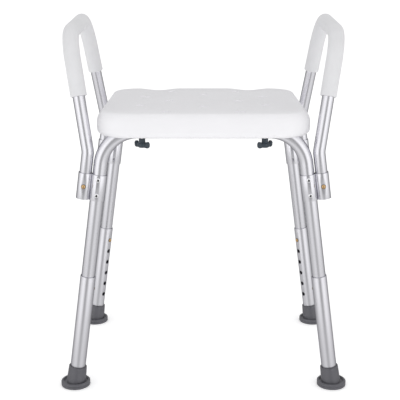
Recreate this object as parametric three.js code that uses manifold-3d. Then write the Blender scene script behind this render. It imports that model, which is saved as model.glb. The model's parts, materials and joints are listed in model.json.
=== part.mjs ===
// Shower stool with arms: a moulded seat on two bent tube frames, legs that telescope on snap
// buttons, and two lift-off arm loops with foam pads.
//
// Millimetres, +Z up, the front of the stool towards -Y. The origin is on the floor, midway
// between the four feet.
import * as THREE from "three";
import { mergeVertices } from "three/addons/utils/BufferGeometryUtils.js";
import Module from "manifold-3d";

const wasm = await Module();
wasm.setup();

// ---------------------------------------------------------------- driving dimensions

// Frame: two flat upside-down U tubes, one at the front and one at the rear.
const FRAME_Y = 166; // each frame's plane, from the middle of the stool
const FOOT_X = 245.6; // a leg's axis where it meets the floor
const LEG_SPLAY = 0.137; // outward run of a leg for each unit of drop
const RUN_Z = 492.8; // axis of the level run under the seat
const FRAME_BEND = 68; // centre-line radius of the bend at each end of the run
const FRAME_END_Z = 176; // lower end of the frame tube, inside the leg extension
const FRAME_RADIUS = 12.7;
const FRAME_WALL = 1.4;

// Leg extensions, which slide over the frame tube.
const EXTENSION_RADIUS = 14.3;
const EXTENSION_BORE = 13.0;
const EXTENSION_TOP_Z = 220;
const EXTENSION_END = 8.3; // lower end, measured along the leg from the floor
const HOLE_PITCH = 25.4;
const HOLE_COUNT = 6;
const LEG_BUTTON_Z = 194;
const LEG_BUTTON_TURN = THREE.MathUtils.degToRad(35); // from sideways towards the stool's middle

// Snap buttons, the same pin in the legs and the arms.
const PIN_RADIUS = 3.9;
const PIN_HOLE = 4.4;
const PIN_PROUD = 2.5; // how far a pin stands out of the outer tube
const PIN_FLANGE = 4.7;
const SPRING_THICKNESS = 0.8;
const SPRING_WIDTH = 6;

// Arm loops and the double-tube brackets that hold them.
const ARM_RADIUS = 11.1;
const ARM_WALL = 1.2;
const ARM_SPACING = 25.4; // leg axis to arm axis in a bracket
const ARM_ELBOW_Z = 455.5;
const ARM_TOP_Z = { front: 662, rear: 678 }; // the top bar drops a little towards the front
const ARM_SPLAY = 0.163; // outward run of an arm for each unit of rise above its elbow
const ARM_CONVERGE = { front: 0.202, rear: 0.148 }; // run towards the middle for each unit of rise
const ARM_ELBOW_BEND = 26;
const ARM_TOP_BEND = 64;
const ARM_BUTTON_Z = 390;
const BRACKET_Z = [366, 414];
const BRACKET_LEG_RADIUS = 14.4;
const BRACKET_ARM_RADIUS = 12.8;
const BRACKET_WALL = 1.4;
const SCREW_Z = { lower: 377, upper: 405.5 };
const SCREW_RADIUS = 2;
const SCREW_HOLE = 2.4;
const SCREW_HEAD_RADIUS = 3.9;
const SCREW_HEAD_HEIGHT = 2.3;
const PAD_RADIUS = 15;
const PAD_BORE = 11.5;
const PAD_END_Z = { front: 553, rear: 568 };

// Seat.
const SEAT_HALF_WIDTH = 194.5;
const SEAT_HALF_DEPTH = 193;
const SEAT_CORNER = 60;
const SEAT_BOTTOM_Z = 483;
const SEAT_TOP_Z = 527;
const SEAT_EDGE = 14; // how far the rounding of the top edge reaches in
const SEAT_EDGE_DROP = 23;
const SEAT_FOOT_ROLL = 12; // rounding of the bottom edge
const SEAT_WALL = 5; // side walls
const SEAT_ROOF = 7; // under the flat top, which leaves 3 under the hollows
const TUBE_CHANNEL = 13.2; // radius of the channels that the frame tubes lie in
const CHANNEL_REACH = 158; // half length of the open slot below each channel
const BOSS_RADIUS = 11;
const SCOOP_X = 96; // middle of each thigh hollow
const SCOOP_RADIUS = 200;
const SCOOP_DEPTH = 4; // at the rear edge; the hollow runs out towards the front
const DRAIN_RADIUS = 4.5;
const DRAIN_DISH = 9; // radius of the shallow dish round each drain hole
const DRAIN_DISH_DEPTH = 4;
const DRAIN_SPAN = 188; // half of the depth that the drain holes are spread over
const DRAIN_INNER_X = 67;
const DRAIN_OUTER_X = 118;

// Wing knobs, one on each side of each frame.
const KNOB_X = 110.6;
const KNOB_TURN = THREE.MathUtils.degToRad(40);
const KNOB_HEIGHT = 16;
const KNOB_RADIUS = 8.3;
const KNOB_STEM_RADIUS = 5.8;
const KNOB_TOP_Z = RUN_Z - FRAME_RADIUS - 0.5;
const WING_THICKNESS = 5.5;
const STUD_RADIUS = 3;
const STUD_IN_KNOB = 9.7; // how far the stud reaches into its knob
const STUD_HOLE = 3.6;
const STUD_TOP_Z = 516;
const INSERT_RADIUS = 5.2;
const INSERT_Z = [507, 518];

// Rubber feet.
const FOOT_RADIUS = 27.5;
const FOOT_THICKNESS = 10.5;
const FOOT_RIM = 3; // height of the raised rim round the disc's top
const FOOT_SLEEVE_RADIUS = { bottom: 18.5, top: 16.2 };
const FOOT_SOCKET = 14.7;
const FOOT_SLEEVE_TOP_Z = 39.5;
const WASHER_RADIUS = 13.8;
const WASHER_HOLE = 5;
const WASHER_Z = [6.3, 7.9]; // measured along the leg from the floor

const GAP = 0.3;
const UP = new THREE.Vector3(0, 0, 1);
const LEAN = Math.atan(LEG_SPLAY);
const SIDES = { left: -1, right: 1 };
const ENDS = { front: -1, rear: 1 };

// ---------------------------------------------------------------- materials

function finish(colour, roughness, metalness) {
  return new THREE.MeshStandardMaterial({ color: colour, roughness, metalness });
}

const whitePlastic = finish(0xe9e9ee, 0.45, 0);
const foam = finish(0xdedee2, 0.9, 0);
const aluminium = finish(0xd3d4d8, 0.28, 1);
const greyRubber = finish(0x77777d, 0.85, 0);
const brass = finish(0xb88a4e, 0.3, 1);
const steel = finish(0xb9bbc0, 0.3, 1);
const slatePlastic = finish(0x2c343d, 0.4, 0);

// ---------------------------------------------------------------- shapes

// The corner points of a round section. A bore's flats keep its full radius.
function roundPoints(radius, sides, isBore = false) {
  const reach = isBore ? radius / Math.cos(Math.PI / sides) : radius;
  return Array.from({ length: sides }, (_, k) => {
    const angle = (2 * Math.PI * k) / sides;
    return new THREE.Vector2(reach * Math.cos(angle), reach * Math.sin(angle));
  });
}

function ringShape(outer, bore, sides) {
  const shape = new THREE.Shape(roundPoints(outer, sides));
  shape.holes.push(new THREE.Path(roundPoints(bore, sides, true).reverse()));
  return shape;
}

function heading(from, to) {
  return to.clone().sub(from).normalize();
}

// A centre line of straights joined by round bends. It has a station at each end of every
// straight and at even steps round every bend, and nowhere else.
class BentLine extends THREE.Curve {
  constructor(corners, bends) {
    super();
    this.stations = [];
    const last = corners.length - 1;
    this.addStation(corners[0], heading(corners[0], corners[1]));
    bends.forEach(({ radius, steps }, i) => this.addBend(corners.slice(i, i + 3), radius, steps));
    this.addStation(corners[last], heading(corners[last - 1], corners[last]));
    this.steps = this.stations.length - 1;
  }

  addStation(at, along) {
    this.stations.push({ at, along });
  }

  addBend([before, corner, after], radius, steps) {
    const into = heading(before, corner);
    const out = heading(corner, after);
    const turn = into.angleTo(out);
    const start = corner.clone().addScaledVector(into, -radius * Math.tan(turn / 2));
    const inward = out.clone().addScaledVector(into, -out.dot(into)).normalize();
    for (let k = 0; k <= steps; k += 1) {
      const angle = (turn * k) / steps;
      const at = start.clone().addScaledVector(into, radius * Math.sin(angle));
      at.addScaledVector(inward, radius * (1 - Math.cos(angle)));
      const along = into.clone().multiplyScalar(Math.cos(angle));
      this.addStation(at, along.addScaledVector(inward, Math.sin(angle)));
    }
  }

  getPoint(t, target = new THREE.Vector3()) {
    return target.copy(this.stations[Math.round(t * this.steps)].at);
  }

  getPointAt(t, target) {
    return this.getPoint(t, target);
  }

  getTangentAt(t, target = new THREE.Vector3()) {
    return target.copy(this.stations[Math.round(t * this.steps)].along);
  }

  getSpacedPoints() {
    return this.stations.map((station) => station.at.clone());
  }
}

function bentTube(line, outer, bore, sides) {
  const section = ringShape(outer, bore, sides);
  return new THREE.ExtrudeGeometry(section, { steps: line.steps, extrudePath: line });
}

function straightTube(outer, bore, from, to, sides) {
  const options = { depth: to - from, bevelEnabled: false };
  return new THREE.ExtrudeGeometry(ringShape(outer, bore, sides), options).translate(0, 0, from);
}

function rod(radius, from, to, sides = 12) {
  const geometry = new THREE.CylinderGeometry(radius, radius, from.distanceTo(to), sides);
  const turn = new THREE.Quaternion().setFromUnitVectors(new THREE.Vector3(0, 1, 0), heading(from, to));
  const middle = from.clone().lerp(to, 0.5);
  return geometry.applyQuaternion(turn).translate(middle.x, middle.y, middle.z);
}

// A turned piece. Its profile is a list of [radius, height] from the bottom up, about +Z.
function turned(profile, sides) {
  const points = profile.map(([radius, height]) => new THREE.Vector2(radius, height));
  return new THREE.LatheGeometry(points, sides).rotateX(Math.PI / 2);
}

// Turns a piece made along +Z to lie along a direction.
function pointed(geometry, direction) {
  return geometry.applyQuaternion(new THREE.Quaternion().setFromUnitVectors(UP, direction));
}

function box(low, high) {
  const size = high.map((value, i) => value - low[i]);
  const middle = high.map((value, i) => (value + low[i]) / 2);
  return new THREE.BoxGeometry(...size).translate(...middle);
}

// A bent strip of sheet: the outline runs down one side of its middle line and back up the other.
function stripShape(line, thickness) {
  const normals = line.map((point, i) => {
    const before = line[Math.max(i - 1, 0)];
    const after = line[Math.min(i + 1, line.length - 1)];
    const along = after.clone().sub(before).normalize();
    return new THREE.Vector2(-along.y, along.x).multiplyScalar(thickness / 2);
  });
  const near = line.map((point, i) => point.clone().add(normals[i]));
  const far = line.map((point, i) => point.clone().sub(normals[i]));
  return new THREE.Shape([...far, ...near.reverse()]);
}

// ---------------------------------------------------------------- joining and cutting

function solid(geometry) {
  const bare = geometry.clone();
  bare.deleteAttribute("normal");
  bare.deleteAttribute("uv");
  const merged = mergeVertices(bare, 1e-3);
  const vertProperties = merged.attributes.position.array;
  const triVerts = new Uint32Array(merged.index.array);
  return new wasm.Manifold(new wasm.Mesh({ numProp: 3, vertProperties, triVerts }));
}

function geometryOf(manifold) {
  const { vertProperties, triVerts } = manifold.getMesh();
  const geometry = new THREE.BufferGeometry();
  geometry.setAttribute("position", new THREE.BufferAttribute(vertProperties, 3));
  geometry.setIndex(new THREE.BufferAttribute(triVerts, 1));
  geometry.computeVertexNormals();
  return geometry;
}

function joined(...geometries) {
  return geometryOf(geometries.map(solid).reduce((whole, part) => whole.add(part)));
}

function cut(geometry, tools) {
  return geometryOf(tools.map(solid).reduce((rest, tool) => rest.subtract(tool), solid(geometry)));
}

// ---------------------------------------------------------------- places

const stool = new THREE.Group();

function addPiece(parent, name, geometry, material) {
  const mesh = new THREE.Mesh(geometry, material);
  mesh.name = name;
  parent.add(mesh);
}

// A leg's own frame: its origin on the floor under the leg, +Z up along the leg, X across the
// stool. Heights given as z are true heights; along the leg they are a little longer.
function legMatrix(side, end) {
  const place = new THREE.Matrix4().makeRotationY(-side * LEAN);
  return place.setPosition(side * FOOT_X, end * FRAME_Y, 0);
}

function alongLeg(z) {
  return z / Math.cos(LEAN);
}

function inLegFrame(x, y, z) {
  return new THREE.Vector3(x, y, z);
}

// Level direction that a leg's height holes face: inward, and turned towards the middle.
function legButtonDirection(side, end) {
  const across = -side * Math.cos(LEG_BUTTON_TURN);
  return new THREE.Vector3(across, -end * Math.sin(LEG_BUTTON_TURN), 0);
}

function pinHole(direction, height, acrossX = 0) {
  const centre = inLegFrame(acrossX, 0, height);
  const from = centre.clone().addScaledVector(direction, 4);
  return rod(PIN_HOLE, from, centre.clone().addScaledVector(direction, 20), 8);
}

// ---------------------------------------------------------------- frame and legs

const TUBE_SIDES = 12;

function frameLine(end) {
  const cornerX = FOOT_X - LEG_SPLAY * RUN_Z;
  const endX = FOOT_X - LEG_SPLAY * FRAME_END_Z;
  const y = end * FRAME_Y;
  const corners = [
    new THREE.Vector3(-endX, y, FRAME_END_Z),
    new THREE.Vector3(-cornerX, y, RUN_Z),
    new THREE.Vector3(cornerX, y, RUN_Z),
    new THREE.Vector3(endX, y, FRAME_END_Z),
  ];
  const bend = { radius: FRAME_BEND, steps: 6 };
  return new BentLine(corners, [bend, bend]);
}

function frameTube(end) {
  const tube = bentTube(frameLine(end), FRAME_RADIUS, FRAME_RADIUS - FRAME_WALL, TUBE_SIDES);
  const tools = Object.values(SIDES).flatMap((side) => {
    const place = legMatrix(side, end);
    const holes = Object.values(SCREW_Z).map((z) => screwHole(alongLeg(z)));
    holes.push(pinHole(legButtonDirection(side, end), alongLeg(LEG_BUTTON_Z)));
    holes.forEach((hole) => hole.applyMatrix4(place));
    return [...holes, studHole(side * KNOB_X, end * FRAME_Y)];
  });
  return cut(tube, tools);
}

function screwHole(height) {
  const reach = BRACKET_LEG_RADIUS + 5;
  return rod(SCREW_HOLE, inLegFrame(0, -reach, height), inLegFrame(0, reach, height), 8);
}

function studHole(x, y) {
  const reach = FRAME_RADIUS + 5;
  return rod(STUD_HOLE, new THREE.Vector3(x, y, RUN_Z - reach), new THREE.Vector3(x, y, RUN_Z + reach), 8);
}

function legExtension(side, end) {
  const top = alongLeg(EXTENSION_TOP_Z);
  const tube = straightTube(EXTENSION_RADIUS, EXTENSION_BORE, EXTENSION_END, top, TUBE_SIDES);
  const direction = legButtonDirection(side, end);
  const heights = Array.from({ length: HOLE_COUNT }, (_, k) => alongLeg(LEG_BUTTON_Z) - k * HOLE_PITCH);
  return cut(tube, heights.map((height) => pinHole(direction, height)));
}

// The foot is level while its sleeve follows the leg, so the disc is tilted back in the leg's frame.
function rubberFoot(side) {
  const disc = turned(
    [
      [0, 0],
      [FOOT_RADIUS - 1, 0],
      [FOOT_RADIUS, 1.5],
      [FOOT_RADIUS, FOOT_THICKNESS - 1],
      [FOOT_RADIUS - 1, FOOT_THICKNESS],
      [FOOT_RADIUS - 4, FOOT_THICKNESS],
      [FOOT_RADIUS - 5.5, FOOT_THICKNESS - FOOT_RIM],
      [0, FOOT_THICKNESS - FOOT_RIM],
    ],
    16,
  ).rotateY(side * LEAN);
  const sleeveBottom = 4;
  const sleeveTop = alongLeg(FOOT_SLEEVE_TOP_Z);
  const sleeve = turned(
    [
      [0, sleeveBottom],
      [FOOT_SLEEVE_RADIUS.bottom, sleeveBottom],
      [FOOT_SLEEVE_RADIUS.top + 0.7, sleeveTop - 1],
      [FOOT_SLEEVE_RADIUS.top, sleeveTop],
      [0, sleeveTop],
    ],
    16,
  );
  const socket = turned(
    [
      [0, WASHER_Z[0] - GAP],
      [FOOT_SOCKET, WASHER_Z[0] - GAP],
      [FOOT_SOCKET, sleeveTop + 5],
      [0, sleeveTop + 5],
    ],
    16,
  );
  return cut(joined(disc, sleeve), [socket]);
}

// ---------------------------------------------------------------- snap buttons

// A pin along +Z with a flange that stays inside the tube and a domed tip.
function snapPin(flangeAt, tip) {
  return turned(
    [
      [0, flangeAt],
      [PIN_FLANGE, flangeAt],
      [PIN_FLANGE, flangeAt + 1],
      [PIN_RADIUS, flangeAt + 1],
      [PIN_RADIUS, tip - 1.9],
      [2.7, tip - 0.5],
      [0, tip],
    ],
    10,
  );
}

// A V spring inside the tube: one leaf behind the pin, the other against the far wall.
function pinSpring(direction, leafAt, wallAt) {
  const line = [
    new THREE.Vector2(leafAt, -7),
    new THREE.Vector2(leafAt, 6),
    new THREE.Vector2(1.2, 27),
    new THREE.Vector2(-1.2, 27),
    new THREE.Vector2(-wallAt, 2),
    new THREE.Vector2(-wallAt, -9),
  ];
  const options = { depth: SPRING_WIDTH, bevelEnabled: false };
  const strip = new THREE.ExtrudeGeometry(stripShape(line, SPRING_THICKNESS), options);
  strip.translate(0, 0, -SPRING_WIDTH / 2);
  const across = new THREE.Vector3().crossVectors(direction, UP);
  return strip.applyMatrix4(new THREE.Matrix4().makeBasis(direction, UP, across));
}

// Adds a pin and its spring inside a tube of the given bore radius.
function addSnapButton(leg, name, direction, at, bore, tip) {
  const flangeAt = bore - 2.9;
  const pin = pointed(snapPin(flangeAt, tip), direction).translate(...at);
  addPiece(leg, name, pin, brass);
  const leafAt = flangeAt - GAP - SPRING_THICKNESS / 2;
  const spring = pinSpring(direction, leafAt, bore - 1.5).translate(...at);
  addPiece(leg, name.replace("button", "button_spring"), spring, steel);
}

// ---------------------------------------------------------------- arm brackets

const BRACKET_SIDES = 16;

function armBracket(side, end) {
  const [bottom, top] = BRACKET_Z.map(alongLeg);
  const axisX = side * ARM_SPACING;
  const upright = (radius, x, from, to) =>
    rod(radius, inLegFrame(x, 0, from), inLegFrame(x, 0, to), BRACKET_SIDES);
  const boreOf = (radius) => (radius - BRACKET_WALL) / Math.cos(Math.PI / BRACKET_SIDES);
  const body = joined(
    upright(BRACKET_LEG_RADIUS, 0, bottom, top),
    upright(BRACKET_ARM_RADIUS, axisX, bottom, top),
  );
  return cut(body, [
    upright(boreOf(BRACKET_LEG_RADIUS), 0, bottom - 5, top + 5),
    upright(boreOf(BRACKET_ARM_RADIUS), axisX, bottom - 5, top + 5),
    pinHole(new THREE.Vector3(0, end, 0), alongLeg(ARM_BUTTON_Z), axisX),
    ...Object.values(SCREW_Z).map((z) => screwHole(alongLeg(z))),
  ]);
}

// A pan-head screw through the bracket and the leg: its head outside, its end on the inner side.
function bracketScrew(end, height) {
  const face = BRACKET_LEG_RADIUS + GAP;
  const screw = turned(
    [
      [0, -face - 1.2],
      [1.5, -face - 1.2],
      [SCREW_RADIUS, -face - 0.6],
      [SCREW_RADIUS, face],
      [SCREW_HEAD_RADIUS, face],
      [SCREW_HEAD_RADIUS - 0.3, face + 1.5],
      [2, face + SCREW_HEAD_HEIGHT],
      [0, face + SCREW_HEAD_HEIGHT],
    ],
    8,
  );
  return pointed(screw, new THREE.Vector3(0, end, 0)).translate(0, 0, height);
}

// ---------------------------------------------------------------- arms

const ARM_SIDES = 12;

// Where the arm's axis is at its elbow, and where its rising part would meet the top run.
function armElbow(side, end) {
  const height = (ARM_ELBOW_Z - ARM_SPACING * Math.sin(LEAN)) / Math.cos(LEAN);
  return inLegFrame(side * ARM_SPACING, 0, height).applyMatrix4(legMatrix(side, end));
}

function armRising(side, endName, z) {
  const end = ENDS[endName];
  const elbow = armElbow(side, end);
  const rise = z - elbow.z;
  const towardsMiddle = -end * ARM_CONVERGE[endName] * rise;
  return elbow.add(new THREE.Vector3(side * ARM_SPLAY * rise, towardsMiddle, rise));
}

function armTube(side) {
  const lower = (end) => {
    const height = alongLeg(BRACKET_Z[0]) + 3;
    return inLegFrame(side * ARM_SPACING, 0, height).applyMatrix4(legMatrix(side, end));
  };
  const corners = [
    lower(ENDS.front),
    armElbow(side, ENDS.front),
    armRising(side, "front", ARM_TOP_Z.front),
    armRising(side, "rear", ARM_TOP_Z.rear),
    armElbow(side, ENDS.rear),
    lower(ENDS.rear),
  ];
  const elbow = { radius: ARM_ELBOW_BEND, steps: 2 };
  const top = { radius: ARM_TOP_BEND, steps: 6 };
  const line = new BentLine(corners, [elbow, top, top, elbow]);
  const tube = bentTube(line, ARM_RADIUS, ARM_RADIUS - ARM_WALL, ARM_SIDES);
  const holes = Object.values(ENDS).map((end) => {
    const direction = new THREE.Vector3(0, end, 0);
    const hole = pinHole(direction, alongLeg(ARM_BUTTON_Z), side * ARM_SPACING);
    return hole.applyMatrix4(legMatrix(side, end));
  });
  return cut(tube, holes);
}

function armPad(side) {
  const corners = [
    armRising(side, "front", PAD_END_Z.front),
    armRising(side, "front", ARM_TOP_Z.front),
    armRising(side, "rear", ARM_TOP_Z.rear),
    armRising(side, "rear", PAD_END_Z.rear),
  ];
  const top = { radius: ARM_TOP_BEND, steps: 6 };
  return bentTube(new BentLine(corners, [top, top]), PAD_RADIUS, PAD_BORE, ARM_SIDES);
}

// ---------------------------------------------------------------- seat

// A slab with a rounded rectangle as its plan. Each level of its profile is [inset, z], and the
// outline shrinks by the inset about its corners' centres.
function roundedSlab(profile) {
  const centreX = SEAT_HALF_WIDTH - SEAT_CORNER;
  const centreY = SEAT_HALF_DEPTH - SEAT_CORNER;
  const cornerSteps = 4;
  const outline = [];
  for (const quarter of [0, 1, 2, 3]) {
    const x = quarter === 0 || quarter === 3 ? centreX : -centreX;
    const y = quarter < 2 ? centreY : -centreY;
    for (let k = 0; k <= cornerSteps; k += 1) {
      const angle = (Math.PI / 2) * (quarter + k / cornerSteps);
      outline.push(new THREE.Vector2(x + SEAT_CORNER * Math.cos(angle), y + SEAT_CORNER * Math.sin(angle)));
    }
  }
  const levels = profile.length - 1;
  const options = { depth: levels, steps: levels, bevelEnabled: false };
  const slab = new THREE.ExtrudeGeometry(new THREE.Shape(outline), options);
  const position = slab.attributes.position;
  for (let i = 0; i < position.count; i += 1) {
    const [inset, z] = profile[Math.round(position.getZ(i))];
    const shrink = 1 - inset / SEAT_CORNER;
    const x = Math.sign(position.getX(i)) * centreX;
    const y = Math.sign(position.getY(i)) * centreY;
    position.setXYZ(i, x + shrink * (position.getX(i) - x), y + shrink * (position.getY(i) - y), z);
  }
  return slab;
}

// Levels of a quarter-ellipse edge that starts at an inset and closes in by reach while rising.
function roundedEdge(inset, z, reach, rise, steps) {
  return Array.from({ length: steps + 1 }, (_, k) => {
    const angle = ((Math.PI / 2) * k) / steps;
    return [inset + reach * (1 - Math.cos(angle)), z + rise * Math.sin(angle)];
  });
}

// Drain holes: x, and y as a share of their span. Each row is mirrored left and right.
function drainPlaces() {
  const inner = [-0.84, -0.04, 0.72].map((share) => [DRAIN_INNER_X, share]);
  const outer = [-0.38, 0.3].map((share) => [DRAIN_OUTER_X, share]);
  const middle = [-0.47, 0.42].map((share) => [0, share]);
  const pairs = [...inner, ...outer].flatMap(([x, share]) => [[x, share], [-x, share]]);
  return [...pairs, ...middle].map(([x, share]) => [x, share * DRAIN_SPAN]);
}

function drainTool([x, y]) {
  const funnel = turned(
    [
      [0, SEAT_TOP_Z - 20],
      [DRAIN_RADIUS, SEAT_TOP_Z - 20],
      [DRAIN_RADIUS, SEAT_TOP_Z - DRAIN_DISH_DEPTH],
      [DRAIN_DISH, SEAT_TOP_Z + 0.2],
      [DRAIN_DISH, SEAT_TOP_Z + 5],
      [0, SEAT_TOP_Z + 5],
    ],
    8,
  );
  return funnel.translate(x, y, 0);
}

// A long round tool that hollows the top: deepest at the rear, out of the seat near the front.
function scoopTool(side) {
  const x = side * SCOOP_X;
  const rear = new THREE.Vector3(x, SEAT_HALF_DEPTH + 10, SEAT_TOP_Z - SCOOP_DEPTH + SCOOP_RADIUS);
  const front = new THREE.Vector3(x, -SEAT_HALF_DEPTH + 60, SEAT_TOP_Z + 1 + SCOOP_RADIUS);
  return rod(SCOOP_RADIUS, rear, front, 80);
}

function seat() {
  const wallTop = SEAT_TOP_Z - SEAT_EDGE_DROP;
  const outer = roundedSlab([
    [SEAT_FOOT_ROLL, SEAT_BOTTOM_Z],
    [7, SEAT_BOTTOM_Z + 1.2],
    [3, SEAT_BOTTOM_Z + 4.2],
    [0.8, SEAT_BOTTOM_Z + 8],
    [0, SEAT_BOTTOM_Z + SEAT_FOOT_ROLL],
    ...roundedEdge(0, wallTop, SEAT_EDGE, SEAT_EDGE_DROP, 4),
  ]);
  const cavity = roundedSlab([
    [SEAT_FOOT_ROLL + 3.5, SEAT_BOTTOM_Z - 5],
    [SEAT_FOOT_ROLL + 3.5, SEAT_BOTTOM_Z],
    [SEAT_WALL, SEAT_BOTTOM_Z + SEAT_FOOT_ROLL + 3],
    ...roundedEdge(SEAT_WALL, wallTop, SEAT_EDGE - SEAT_WALL, SEAT_EDGE_DROP - SEAT_ROOF, 3),
  ]);
  const bossBottom = RUN_Z + FRAME_RADIUS + 0.4;
  const bossTop = SEAT_TOP_Z - SEAT_ROOF + 2;
  const corners = Object.values(SIDES).flatMap((side) =>
    Object.values(ENDS).map((end) => [side * KNOB_X, end * FRAME_Y]),
  );
  const upright = (radius, [x, y], from, to) =>
    rod(radius, new THREE.Vector3(x, y, from), new THREE.Vector3(x, y, to), 12);
  const bosses = corners.map((at) => upright(BOSS_RADIUS, at, bossBottom, bossTop));
  const channels = Object.values(ENDS).flatMap((end) => {
    const line = frameLine(end);
    const section = new THREE.Shape(roundPoints(TUBE_CHANNEL, TUBE_SIDES, true));
    const run = new THREE.ExtrudeGeometry(section, { steps: line.steps, extrudePath: line });
    const y = end * FRAME_Y;
    const below = box(
      [-CHANNEL_REACH, y - TUBE_CHANNEL, RUN_Z - 30],
      [CHANNEL_REACH, y + TUBE_CHANNEL, RUN_Z],
    );
    return [run, below];
  });
  const shell = joined(cut(outer, [cavity]), ...bosses);
  return cut(shell, [
    ...channels,
    ...corners.map((at) => upright(INSERT_RADIUS + GAP, at, bossBottom - 5, INSERT_Z[1] + GAP)),
    ...drainPlaces().map(drainTool),
    ...Object.values(SIDES).map(scoopTool),
  ]);
}

// ---------------------------------------------------------------- wing knobs

function knob(side, end) {
  const top = KNOB_TOP_Z;
  const hub = turned(
    [
      [0, top - KNOB_HEIGHT],
      [KNOB_RADIUS - 2.3, top - KNOB_HEIGHT],
      [KNOB_RADIUS, top - 14],
      [KNOB_RADIUS, top - 9],
      [KNOB_STEM_RADIUS, top - 6],
      [KNOB_STEM_RADIUS, top],
      [0, top],
    ],
    10,
  );
  const wingShape = new THREE.Shape([
    new THREE.Vector2(4, -15.5),
    new THREE.Vector2(14, -16.5),
    new THREE.Vector2(17, -14),
    new THREE.Vector2(17.5, -8),
    new THREE.Vector2(15, -4.5),
    new THREE.Vector2(11.5, -4.8),
    new THREE.Vector2(9.5, -8),
    new THREE.Vector2(4, -8.5),
  ]);
  const wing = (turn) =>
    new THREE.ExtrudeGeometry(wingShape, { depth: WING_THICKNESS, bevelEnabled: false })
      .translate(0, 0, -WING_THICKNESS / 2)
      .rotateX(Math.PI / 2)
      .translate(0, 0, top)
      .rotateZ(turn);
  // One wing points to the middle of the stool and outwards past the frame, the other opposite.
  const towards = Math.atan2(end * Math.sin(KNOB_TURN), -side * Math.cos(KNOB_TURN));
  const socketEnd = new THREE.Vector3(0, 0, top - STUD_IN_KNOB - GAP);
  const stud = rod(STUD_RADIUS + GAP, socketEnd, new THREE.Vector3(0, 0, top + 5));
  return cut(joined(hub, wing(towards), wing(towards + Math.PI)), [stud]);
}

function knobStud() {
  const bottom = new THREE.Vector3(0, 0, KNOB_TOP_Z - STUD_IN_KNOB);
  return rod(STUD_RADIUS, bottom, new THREE.Vector3(0, 0, STUD_TOP_Z), 10);
}

// ---------------------------------------------------------------- assembly

addPiece(stool, "seat", seat(), whitePlastic);
addPiece(stool, "front_frame_tube", frameTube(ENDS.front), aluminium);
addPiece(stool, "rear_frame_tube", frameTube(ENDS.rear), aluminium);

for (const [endName, end] of Object.entries(ENDS)) {
  for (const [sideName, side] of Object.entries(SIDES)) {
    const corner = `${endName}_${sideName}`;
    const leg = new THREE.Group();
    leg.applyMatrix4(legMatrix(side, end));
    stool.add(leg);

    addPiece(leg, `leg_extension_${corner}`, legExtension(side, end), aluminium);
    addPiece(leg, `rubber_foot_${corner}`, rubberFoot(side), greyRubber);
    addPiece(leg, `foot_washer_${corner}`, straightTube(WASHER_RADIUS, WASHER_HOLE, ...WASHER_Z, 10), steel);
    const legPinTip = EXTENSION_RADIUS + PIN_PROUD;
    const legPinAt = inLegFrame(0, 0, alongLeg(LEG_BUTTON_Z));
    const legBore = FRAME_RADIUS - FRAME_WALL;
    addSnapButton(leg, `leg_button_${corner}`, legButtonDirection(side, end), legPinAt, legBore, legPinTip);

    addPiece(leg, `arm_bracket_${corner}`, armBracket(side, end), aluminium);
    for (const [level, z] of Object.entries(SCREW_Z)) {
      addPiece(leg, `bracket_screw_${level}_${corner}`, bracketScrew(end, alongLeg(z)), steel);
    }
    const armPinTip = BRACKET_ARM_RADIUS + PIN_PROUD;
    const armPinAt = inLegFrame(side * ARM_SPACING, 0, alongLeg(ARM_BUTTON_Z));
    const facing = new THREE.Vector3(0, end, 0);
    addSnapButton(leg, `arm_button_${corner}`, facing, armPinAt, ARM_RADIUS - ARM_WALL, armPinTip);

    const fixing = new THREE.Group();
    fixing.position.set(side * KNOB_X, end * FRAME_Y, 0);
    stool.add(fixing);
    addPiece(fixing, `knob_${corner}`, knob(side, end), slatePlastic);
    addPiece(fixing, `knob_stud_${corner}`, knobStud(), steel);
    const insert = straightTube(INSERT_RADIUS, STUD_RADIUS + GAP, ...INSERT_Z, 10);
    addPiece(fixing, `seat_insert_${corner}`, insert, brass);
  }
}

for (const [sideName, side] of Object.entries(SIDES)) {
  addPiece(stool, `arm_tube_${sideName}`, armTube(side), aluminium);
  addPiece(stool, `arm_pad_${sideName}`, armPad(side), foam);
}

export default stool;
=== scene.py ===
"""Shower stool with arms, in metres, +Z up, with the front of the stool towards -Y.

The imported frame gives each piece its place. Bent tubes are swept rings, the seat is a drawn-in
slab, and turned pieces are spun profiles.
"""

import json
import math

import bmesh
import bpy
from mathutils import Matrix, Vector

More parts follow.
